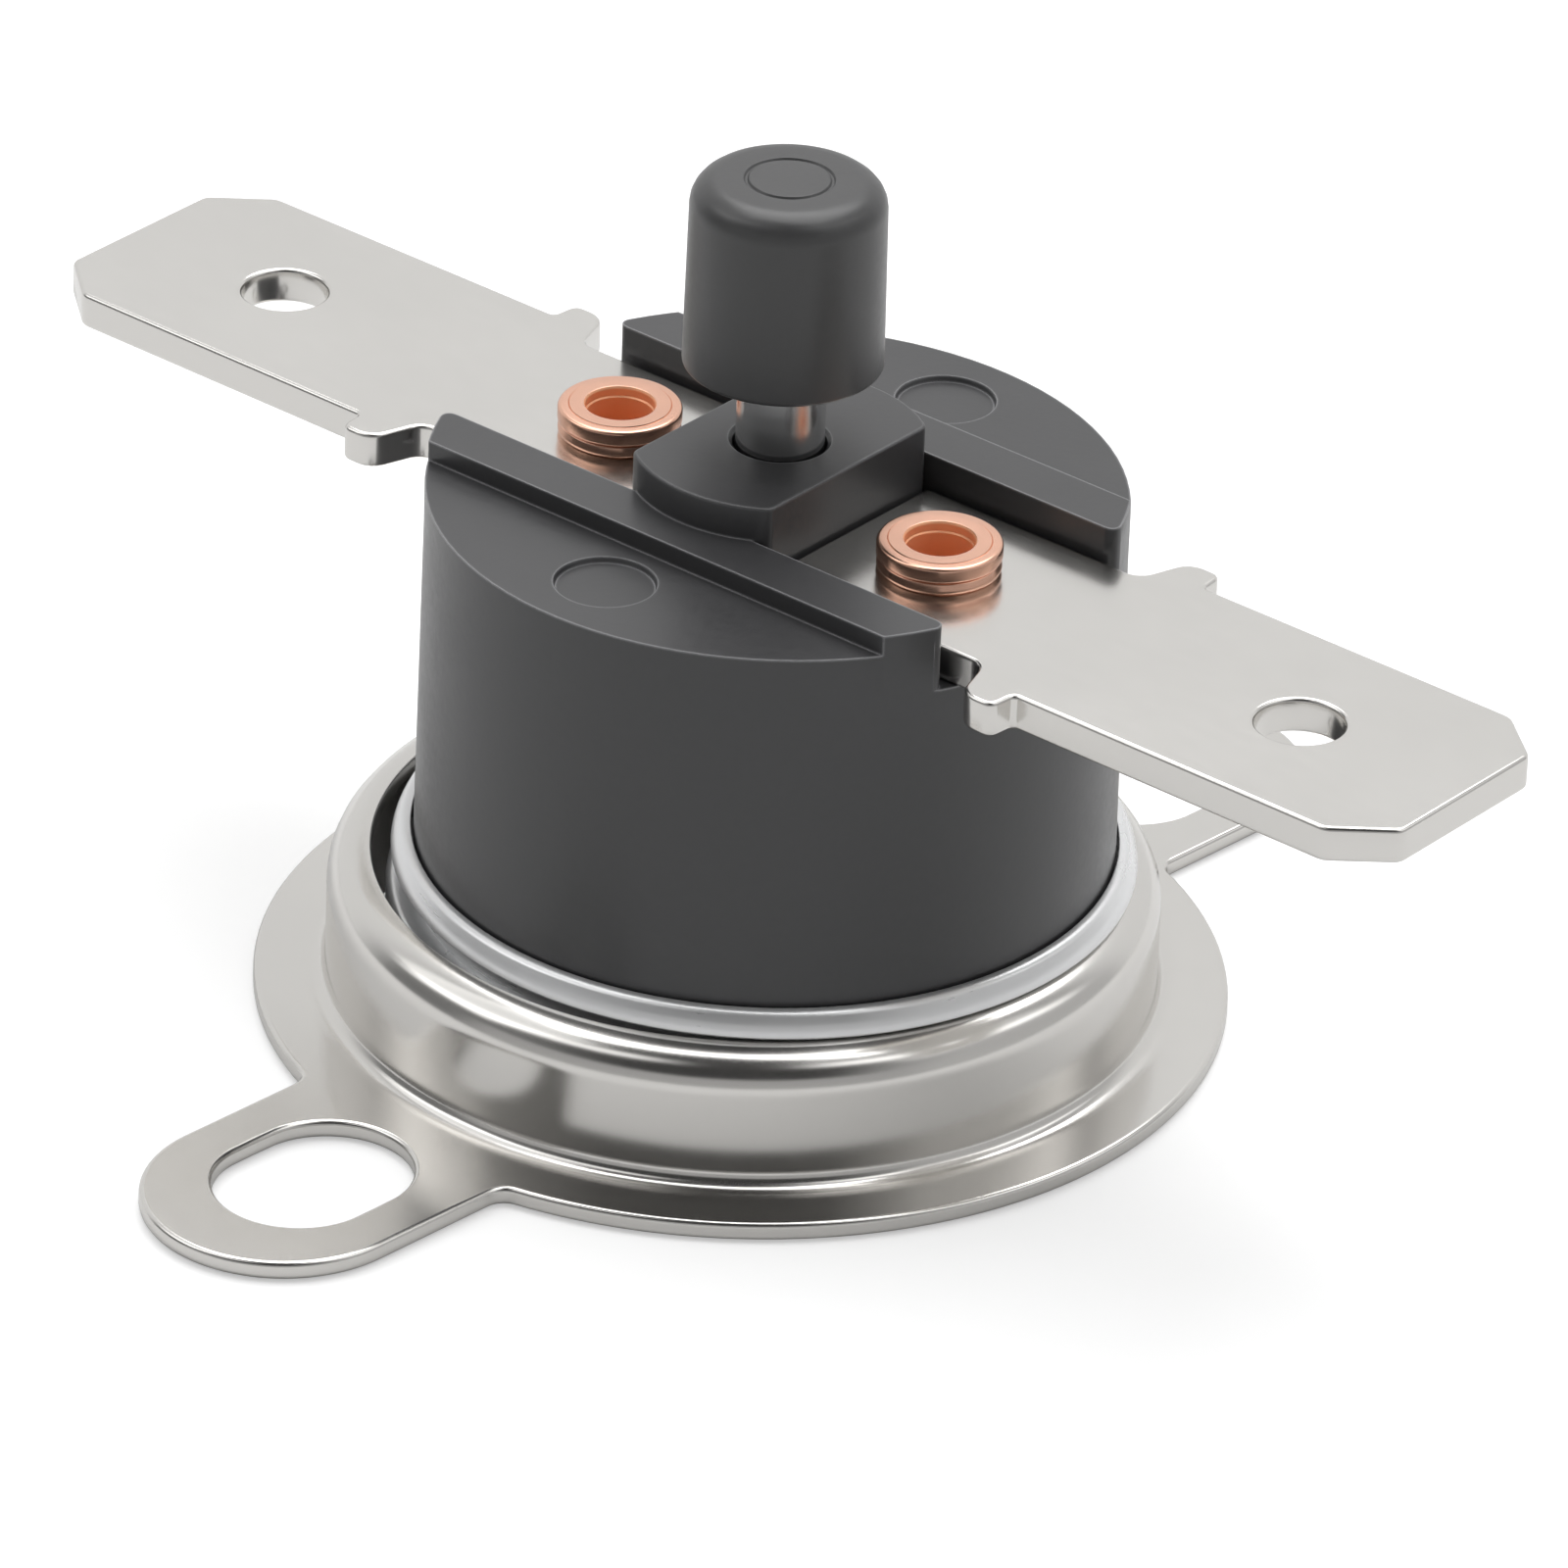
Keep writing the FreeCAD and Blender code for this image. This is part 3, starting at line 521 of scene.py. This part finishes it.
# Eyelets: hollow copper rivets, drawn and then rolled over a flat copper washer, that clench each
# blade to the housing and to the contact strip below it.
BORE_R = 0.75
TUBE_R = 1.0
HEAD_R = 1.34
WASHER_TOP = 12.3
HEAD_TOP = 12.7
FOOT_HEAD_R = 1.28
FOOT_HEAD_LOW = 8.97
FOOT_HEAD_TOP = 9.22
HEAD_GROOVE_R = 1.1
COPPER_COLOUR = (0.80, 0.47, 0.345)
eyelet = spun("eyelet_head_right", [
    (BORE_R, FOOT_HEAD_LOW, 0), (FOOT_HEAD_R, FOOT_HEAD_LOW, 0), (FOOT_HEAD_R, FOOT_HEAD_TOP, 0),
    (TUBE_R, FOOT_HEAD_TOP, 0), (TUBE_R, WASHER_TOP, 0),
    (HEAD_R - 0.07, WASHER_TOP, 0), (HEAD_R, WASHER_TOP + 0.07, 0.04), (HEAD_R, HEAD_TOP - 0.02, 0.09),
    (HEAD_GROOVE_R + 0.015, HEAD_TOP - 0.015, 0), (HEAD_GROOVE_R, HEAD_TOP - 0.035, 0),
    (HEAD_GROOVE_R - 0.015, HEAD_TOP, 0),
    (BORE_R + 0.03, HEAD_TOP, 0.015), (BORE_R, HEAD_TOP - 0.05, 0.02), (BORE_R, HEAD_TOP - 0.22, 0),
    (BORE_R - 0.03, HEAD_TOP - 0.25, 0)], EYELET_X, 96)
washer = spun("eyelet_ring_right", [
    (TUBE_R + 0.005, BLADE_TOP, 0), (HEAD_R - 0.08, BLADE_TOP, 0.02), (HEAD_R, BLADE_TOP + 0.12, 0.1),
    (HEAD_R - 0.06, WASHER_TOP, 0.04), (TUBE_R + 0.005, WASHER_TOP, 0)], EYELET_X, 96)
copper = finish_material("bright copper", COPPER_COLOUR, (0.92, 0.70, 0.58), 1.0, 0.24, 0.03, (3000, 3000, 3000),
                         420, 0.04, 4.0e-8, 0.00005, 1.2)
# The bore's copper is rougher than the head's, and also painted lighter and partly diffuse, so that the shade inside
# the tube renders lighter than it falls
lightened_copper_bore = finish_material("rough copper bore painted lighter", (0.98, 0.50, 0.28), (0.98, 0.62, 0.42), 0.45, 0.45, 0.05,
                              (3000, 3000, 3000), 420, 0.06, 3.0e-7, 0.00003, 0.5)


def lighten_bore_finish(piece, sign):
    """Gives the inside of an eyelet's tube its own finish: rougher copper, painted lighter to lift the shade inside
    the bore.
    """
    axis = Vector((math.cos(SWITCH_TURN), math.sin(SWITCH_TURN))) * sign * EYELET_X * 0.001
    piece.data.materials.append(lightened_copper_bore)
    only(piece)
    bpy.ops.object.mode_set(mode="EDIT")
    pick(piece, "FACE", lambda f: (f.calc_center_median().xy - axis).length < (BORE_R + 0.02) * 0.001)
    piece.active_material_index = 1
    bpy.ops.object.material_slot_assign()
    bpy.ops.object.mode_set(mode="OBJECT")


for right, left_name, node in ((eyelet, "eyelet_head_left", "eyelet"), (washer, "eyelet_ring_left", "eyelet_washer")):
    left = copy_mirrored(right, left_name)
    for piece, side, sign in ((right, "_right", 1), (left, "_left", -1)):
        settle(piece)
        dress(piece, copper, "switch", "copper", node + side)
        if node == "eyelet":
            lighten_bore_finish(piece, sign)

# Reset shaft: a turned bright steel pin that slides in the boss. Its nose meets the contact pin,
# its groove holds the clip, and the button is pressed on its upper end.
SHAFT_R = 0.95
SHAFT_TOP = 17.85
NOSE_R = 0.55
NOSE_LOW = 9.33
CLIP_GROOVE_R = 0.74
CLIP_LOW = 12.5
CLIP_TOP = 12.8
shaft = spun("shaft_pin", [
    (0, NOSE_LOW, 0), (NOSE_R, NOSE_LOW, 0.05), (NOSE_R, 9.88, 0), (SHAFT_R, 10.08, 0.04), (SHAFT_R, CLIP_LOW, 0),
    (CLIP_GROOVE_R, CLIP_LOW, 0), (CLIP_GROOVE_R, CLIP_TOP, 0), (SHAFT_R, CLIP_TOP, 0), (SHAFT_R, SHAFT_TOP, 0.05),
    (0, SHAFT_TOP, 0)], 0, 72, closed=False)
settle(shaft)
dress(shaft, bright_steel, "button", "bright_steel", "reset_shaft")

# Return spring: three turns of bright wire round the shaft, wound open, between the seat and the
# clip. The real spring shortens by the button's stroke; this one is built at one length and moves with the switch.
SPRING_R = 1.2
SPRING_WIRE_R = 0.12
SPRING_TURNS = 3
SEAT_TOP = 10.1
spring_space = CLIP_LOW - SEAT_TOP
bpy.ops.object.select_all(action="DESELECT")
bpy.ops.mesh.primitive_circle_add(vertices=12, radius=SPRING_WIRE_R, rotation=(math.pi / 2, 0, 0),
                                  location=(SPRING_R, 0, SEAT_TOP + SPRING_WIRE_R))
spring = begin("return_coil")
end_edit(spring)
winding = spring.modifiers.new("winding", "SCREW")
winding.screw_offset = (spring_space - 2 * SPRING_WIRE_R) / SPRING_TURNS
winding.iterations = SPRING_TURNS
winding.steps = 48
bpy.ops.object.modifier_apply(modifier="winding")
bpy.ops.object.mode_set(mode="EDIT")
bpy.ops.mesh.select_all(action="SELECT")
bpy.ops.mesh.fill_holes(sides=0)
end_edit(spring)
settle(spring)
spring_wire = finish_material("spring wire", (0.55, 0.55, 0.56), (0.70, 0.70, 0.71), 1.0, 0.25, 0.06,
                              (9000, 9000, 1500), 400, 0.06, 8.0e-7, 0.00003, 3.0)
dress(spring, spring_wire, "switch", "spring_steel", "return_spring")
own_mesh(spring)

# Reset button: a moulded cap with a broad rounded top edge, a finely cut ring on its top face and a
# small rounding at its lower edge.
BUTTON_LOW = 15.3
BUTTON_TOP = 19.6
BUTTON_LOW_R = 2.14
BUTTON_TOP_R = 2.08
SOCKET_TOP = SHAFT_TOP + 0.05
RING_R = 0.91
RING_DEPTH = 0.05
button = spun("button_cap", [
    (0, SOCKET_TOP, 0), (SHAFT_R, SOCKET_TOP, 0), (SHAFT_R, BUTTON_LOW, 0), (BUTTON_LOW_R, BUTTON_LOW, 0.1),
    (BUTTON_TOP_R, BUTTON_TOP, 0.62), (RING_R + 0.06, BUTTON_TOP, 0.02),
    (RING_R + 0.025, BUTTON_TOP - RING_DEPTH, 0.015), (RING_R - 0.025, BUTTON_TOP - RING_DEPTH, 0.015),
    (RING_R - 0.06, BUTTON_TOP, 0.02), (0, BUTTON_TOP, 0)], 0, 96, closed=False)
settle(button)
cap_moulding = finish_material("cap moulding", (0.050, 0.050, 0.051), (0.08, 0.081, 0.085), 0.0, 0.34, 0.05,
                               (5200, 5200, 5200), 420, 0.10, 2.0e-6, 0.00007, 1.5, specular=0.55)
dress(button, cap_moulding, "button", "button_moulding", "reset_button")

# Sensing cup: drawn aluminium, its floor lies on the surface that is sensed. The neck takes the
# bracket's lip, the bead above it keeps the lip on, and the rim is rolled in on the housing.
CUP_R = 8.13
CUP_INNER_R = 7.75
CUP_FLOOR = 0.45
CUP_SHOULDER = 2.78
NECK_R = 7.6
NECK_INNER_R = 7.31
BEAD_LOW = 3.45
RIM_R = 7.61
RIM_TOP = 4.0
cup = spun("cup_shell", [
    (0, 0, 0), (CUP_R, 0, 0.2), (CUP_R, CUP_SHOULDER, 0.18), (NECK_R, CUP_SHOULDER, 0), (NECK_R, BEAD_LOW, 0),
    (7.95, BEAD_LOW - 0.01, 0.02), (8.05, BEAD_LOW + 0.01, 0.05), (8.0, 3.7, 0.6), (7.82, RIM_TOP, 0.2),
    (RIM_R, RIM_TOP, 0.03), (RIM_R, 3.72, 0), (NECK_INNER_R, BEAD_LOW + 0.01, 0), (NECK_INNER_R, 2.53, 0),
    (CUP_INNER_R, 2.53, 0), (CUP_INNER_R, CUP_FLOOR, 0.15), (0, CUP_FLOOR, 0)], 0, 128, closed=False)
settle(cup)
aluminium = finish_material("drawn aluminium", (0.78, 0.785, 0.79), (0.96, 0.965, 0.97), 0.65, 0.30, 0.05,
                            (700, 700, 9000), 260, 0.04, 7.0e-7, 0.00006, 2.0)
dress(cup, aluminium, "switch", "drawn_aluminium", "sensing_cup")

# Mounting bracket: one pressed sheet of nickel-plated steel, loose on the cup and leaning against its
# neck. A flat flange with two slotted ears, an upright collar and a lip rolled in over the cup.
SHEET = 0.42
FLANGE_R = 10.55
COLLAR_R = 9.0
LIP_EDGE_R = 8.06
LIP_TOP = 3.42
COLLAR_FOOT_R = 9.56
FLANGE_BORE_R = 9.5
EAR_HALF = 3.0
EAR_CENTRE = 13.6
EAR_CORNER = 0.35
SHEET_ROUND = 0.12
SLOT_CENTRE = 12.7
SLOT_R = 1.8
SLOT_RUN = 0.45
BRACKET_SHIFT = (-0.33, -0.24)
bpy.ops.object.select_all(action="DESELECT")
bpy.ops.mesh.primitive_cylinder_add(vertices=160, radius=FLANGE_R, depth=SHEET, location=(0, 0, SHEET / 2))
flange = begin("bracket_plate")
end_edit(flange)
for side in (-1, 1):
    bpy.ops.object.select_all(action="DESELECT")
    bpy.ops.mesh.primitive_circle_add(vertices=96, radius=EAR_HALF, fill_type="NGON",
                                      location=(0, side * EAR_CENTRE, 0))
    ear = begin("ear_tool")
    bpy.ops.mesh.select_all(action="SELECT")
    bpy.ops.mesh.bisect(plane_co=(0, side * EAR_CENTRE, 0), plane_no=(0, -side, 0), clear_outer=True)
    pick(ear, "EDGE", lambda e: all(abs(abs(v.co.x) - EAR_HALF) < 0.01 or abs(v.co.y - side * EAR_CENTRE) < 0.01
                                    for v in e.verts) and e.calc_length() > 1)
    bpy.ops.mesh.extrude_region_move(TRANSFORM_OT_translate={"value": (0, -side * (EAR_CENTRE - 6), 0)})
    bpy.ops.mesh.select_all(action="SELECT")
    lift(SHEET)
    end_edit(ear)
    combine(flange, ear, "UNION")
# The inner corners between the ears and the flange are rounded
only(flange)
bpy.ops.object.mode_set(mode="EDIT")
pick(flange, "EDGE", lambda e: abs(e.verts[0].co.z - e.verts[1].co.z) > 0.3
     and abs(abs(e.verts[0].co.x) - EAR_HALF) < 0.02
     and abs(math.hypot(e.verts[0].co.x, e.verts[0].co.y) - FLANGE_R) < 0.05)
bpy.ops.mesh.bevel(offset=EAR_CORNER, affect="EDGES", segments=5, profile=0.5, clamp_overlap=False)
bpy.ops.mesh.select_all(action="SELECT")
bpy.ops.mesh.remove_doubles(threshold=0.04)
pick(flange, "FACE", lambda f: abs(f.normal.z) > 0.9)
bpy.ops.mesh.dissolve_faces()
end_edit(flange)
for side in (-1, 1):
    bpy.ops.object.select_all(action="DESELECT")
    bpy.ops.mesh.primitive_circle_add(vertices=64, radius=SLOT_R, fill_type="NGON", location=(0, 0, -1))
    slot = begin("slot_tool")
    for end in (-1, 1):
        pick(slot, "VERT", lambda v: v.co.y * end > 0.01)
        bpy.ops.transform.translate(value=(0, end * SLOT_RUN, 0))
    bpy.ops.mesh.select_all(action="SELECT")
    lift(2)
    bpy.ops.mesh.select_all(action="SELECT")
    bpy.ops.transform.translate(value=(0, side * SLOT_CENTRE, 0))
    end_edit(slot)
    combine(flange, slot, "DIFFERENCE")
round_edges(flange, SHEET_ROUND, 4)
combine(flange, hole_tool("flange_bore_tool", FLANGE_BORE_R, -1, 1, 0, 160), "DIFFERENCE")
collar = spun("collar_ring", [
    (COLLAR_R - SHEET, 0, 0), (COLLAR_FOOT_R, 0, 0), (COLLAR_FOOT_R, SHEET, 0), (COLLAR_R, SHEET, 0.36),
    (COLLAR_R, LIP_TOP, 0.89), (LIP_EDGE_R, LIP_TOP, 0.08), (LIP_EDGE_R, LIP_TOP - SHEET, 0.04),
    (COLLAR_R - SHEET, LIP_TOP - SHEET, 0.3)], 0, 160)
combine(flange, collar, "UNION")
flange.name = "bracket_pressing"
settle(flange, 0.0, BRACKET_SHIFT)
bracket_plate = finish_material("bright nickel pressing", (0.68, 0.665, 0.64), (0.92, 0.91, 0.89), 1.0, 0.19, 0.012,
                                (1800, 1800, 1800), 240, 0.015, 2.0e-8, 0.00006, 1.5)
dress(flange, bracket_plate, "bracket", "plated_bracket", "mounting_bracket")

# Studio: a white floor that keeps the switch's shadow, soft lamps behind it, on the right and on the
# left, and a world that is white to the camera and has dark and pale regions for the metal.
FLOOR_SIZE = 1.6
FLOOR_LOW = -0.00005
PAPER_SEEN = 0.66
PAPER_GLOW = 0.44
PAPER_UNSEEN = 0.74
bpy.ops.object.select_all(action="DESELECT")
bpy.ops.mesh.primitive_plane_add(size=FLOOR_SIZE, location=(0, 0, FLOOR_LOW))
floor = bpy.context.active_object
floor.name = "floor"
paper = bpy.data.materials.new("white paper")
paper.use_nodes = True
sheet = paper.node_tree.nodes["Principled BSDF"]
sheet.inputs["Roughness"].default_value = 1.0
sheet.inputs["Specular IOR Level"].default_value = 0.0
# The camera sees the paper a little brighter than the metal does
ray = paper.node_tree.nodes.new("ShaderNodeLightPath")
whiteness = paper.node_tree.nodes.new("ShaderNodeMapRange")
whiteness.inputs["To Min"].default_value = PAPER_UNSEEN
whiteness.inputs["To Max"].default_value = PAPER_SEEN
paper.node_tree.links.new(ray.outputs["Is Camera Ray"], whiteness.inputs["Value"])
paper.node_tree.links.new(whiteness.outputs["Result"], sheet.inputs["Base Color"])
sheet.inputs["Emission Color"].default_value = (1, 1, 1, 1)
brightening = paper.node_tree.nodes.new("ShaderNodeMapRange")
brightening.inputs["To Max"].default_value = PAPER_GLOW
paper.node_tree.links.new(ray.outputs["Is Camera Ray"], brightening.inputs["Value"])
paper.node_tree.links.new(brightening.outputs["Result"], sheet.inputs["Emission Strength"])
floor.data.materials.append(paper)

world = bpy.data.worlds.new("studio")
bpy.context.scene.world = world
world.use_nodes = True
sky = world.node_tree
sky.nodes.clear()
seen = sky.nodes.new("ShaderNodeLightPath")
direction = sky.nodes.new("ShaderNodeTexCoord")
ways = sky.nodes.new("ShaderNodeSeparateXYZ")
sky.links.new(direction.outputs["Generated"], ways.inputs[0])
height = ways.outputs[2]
# Level directions away from the camera and to its right
AWAY = (-0.692, 0.722)
RIGHT = (0.722, 0.692)
ARCH_SLOPE = 0.5
ARCH_HEIGHT = 0.62


def facing(x, y):
    """How far the direction that is looked at lies towards a level direction, from -1 to 1."""
    return math_node(sky, "ADD", math_node(sky, "MULTIPLY", ways.outputs[0], x),
                     math_node(sky, "MULTIPLY", ways.outputs[1], y))


def ramp(value, low, high, start, end):
    """A smooth change from start to end while the value goes from low to high."""
    node = sky.nodes.new("ShaderNodeMapRange")
    node.interpolation_type = "SMOOTHSTEP"
    sky.links.new(value, node.inputs["Value"])
    for label, number in (("From Min", low), ("From Max", high), ("To Min", start), ("To Max", end)):
        node.inputs[label].default_value = number
    return node.outputs["Result"]


def brighter(a, b):
    """The brighter of two lights, where they overlap."""
    return math_node(sky, "MAXIMUM", a, b)


def both(a, b):
    """One light or measure times another."""
    return math_node(sky, "MULTIPLY", a, b)


# Away from the camera the studio is bright, towards it dark; the right is brighter than the left
toward = facing(-AWAY[0], -AWAY[1])
back_light = ramp(facing(*AWAY), 0.1, 0.6, 0.05, 0.86)
side_light = ramp(facing(*RIGHT), 0.25, 0.85, 0.0, 0.55)
left_light = ramp(facing(-RIGHT[0], -RIGHT[1]), 0.3, 0.9, 0.0, 0.2)
brightness = brighter(brighter(back_light, side_light), left_light)
# A narrow bright arch over the camera, open in its middle, which the rounded edges that face it
# pick up as white lines
arch = math_node(sky, "SUBTRACT", height, both(toward, ARCH_SLOPE))
off_arch = math_node(sky, "ABSOLUTE", math_node(sky, "SUBTRACT", arch, ARCH_HEIGHT), 0.0)
arch_light = both(ramp(off_arch, 0.05, 0.12, 1.5, 0.0), ramp(toward, -0.45, -0.15, 0.0, 1.0))
beside = ramp(math_node(sky, "ABSOLUTE", facing(*RIGHT), 0.0), 0.12, 0.38, 0.0, 1.0)
brightness = brighter(brightness, both(arch_light, beside))
# A low pale wall behind the camera, which keeps the flat metal from going black in views from behind
low_light = both(ramp(height, 0.35, 0.45, 0.45, 0.0), ramp(toward, 0.0, 0.4, 0.0, 1.0))
brightness = brighter(brightness, low_light)
lit = sky.nodes.new("ShaderNodeMix")
lit.data_type = "FLOAT"
sky.links.new(seen.outputs["Is Camera Ray"], lit.inputs[0])
sky.links.new(brightness, lit.inputs[2])
lit.inputs[3].default_value = 1.0
glow = sky.nodes.new("ShaderNodeBackground")
sky.links.new(lit.outputs[0], glow.inputs["Color"])
out = sky.nodes.new("ShaderNodeOutputWorld")
sky.links.new(glow.outputs[0], out.inputs["Surface"])


CAMERA_AZIMUTH = 43.756


def lamp(name, azimuth, elevation, distance, size, power):
    """A soft square lamp that faces the switch; azimuth 0 is the camera's side, 90 the right."""
    turn = math.radians(azimuth + CAMERA_AZIMUTH - 90)
    rise = math.radians(elevation)
    place = Vector((math.cos(turn) * math.cos(rise), math.sin(turn) * math.cos(rise), math.sin(rise))) * distance
    bpy.ops.object.light_add(type="AREA", location=place)
    light = bpy.context.active_object
    light.name = name
    light.data.size = size
    light.data.energy = power
    light.rotation_euler = (-place).to_track_quat("-Z", "Y").to_euler()


lamp("key_behind", 165, 72, 0.30, 0.28, 0.78)
lamp("side_right", 75, 55, 0.30, 0.22, 0.06)
lamp("fill_left", -95, 50, 0.35, 0.22, 0.15)

# Camera: a long lens a quarter of a metre away, to the right of the front, 30 degrees above the floor
# and rolled by two degrees.
CAMERA_PLACE = (0.1595714, -0.1661217, 0.1355905)
CAMERA_ELEVATION = 29.535
CAMERA_ROLL = 2.230
CAMERA_LENS = 283.405
camera = bpy.data.objects.new("camera", bpy.data.cameras.new("camera"))
bpy.context.scene.collection.objects.link(camera)
camera.data.lens = CAMERA_LENS
camera.data.sensor_width = 36
camera.data.clip_start = 0.01
camera.data.clip_end = 10
look = (Matrix.Rotation(math.radians(CAMERA_AZIMUTH), 4, "Z")
        @ Matrix.Rotation(math.radians(90 - CAMERA_ELEVATION), 4, "X")
        @ Matrix.Rotation(math.radians(CAMERA_ROLL), 4, "Z"))
camera.matrix_world = Matrix.Translation(CAMERA_PLACE) @ look
bpy.context.scene.camera = camera

bpy.context.scene.view_settings.view_transform = "Standard"
